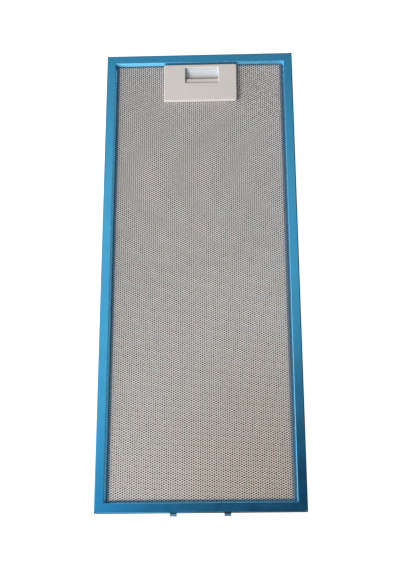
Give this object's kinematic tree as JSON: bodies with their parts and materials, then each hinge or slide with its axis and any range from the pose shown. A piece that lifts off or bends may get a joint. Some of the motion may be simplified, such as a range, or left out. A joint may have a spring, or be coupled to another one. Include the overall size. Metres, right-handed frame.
{
  "type": "cooker hood filter",
  "caption": "Long metal grease filter: a folded frame round expanded aluminium mesh, with a recessed handle, a sprung latch and two locating tabs.",
  "frame": {"origin": "middle of the filter's length and width over its tabs and latch tongue, at its back face", "axes": "+X to the right across the width, +Y along the length towards the handle, +Z out of the front face"},
  "size_m": [0.187, 0.4614, 0.0092],
  "materials": {
    "frame_film": "satin blue film on aluminium",
    "rivet": "plain",
    "mesh": "bright rolled",
    "foil": "bright rolled",
    "handle": "fine satin",
    "handle_back": "fine satin",
    "spring": "drawn wire"
  },
  "bodies": {
    "filter": {"frame": "frame_film", "corner_rivet": "rivet", "front_mesh": "mesh", "filter_layer_1": "foil", "filter_layer_2": "foil", "filter_layer_3": "foil", "filter_layer_4": "foil", "filter_layer_5": "foil", "filter_layer_6": "foil", "rear_mesh": "mesh", "handle_cover": "handle", "handle_base": "handle_back", "latch_spring_left": "spring", "latch_spring_right": "spring"},
    "latch": {"latch_slide": "handle"}
  },
  "joints": [
    {"name": "latch_slide_in", "type": "slide", "parent": "filter", "child": "latch", "axis": [0, -1, 0], "range_m": [0, 0.0045], "stiffness_N_per_m": 600, "springref_m": -0.004, "deforming": ["latch_spring_left", "latch_spring_right"]}
  ]
}
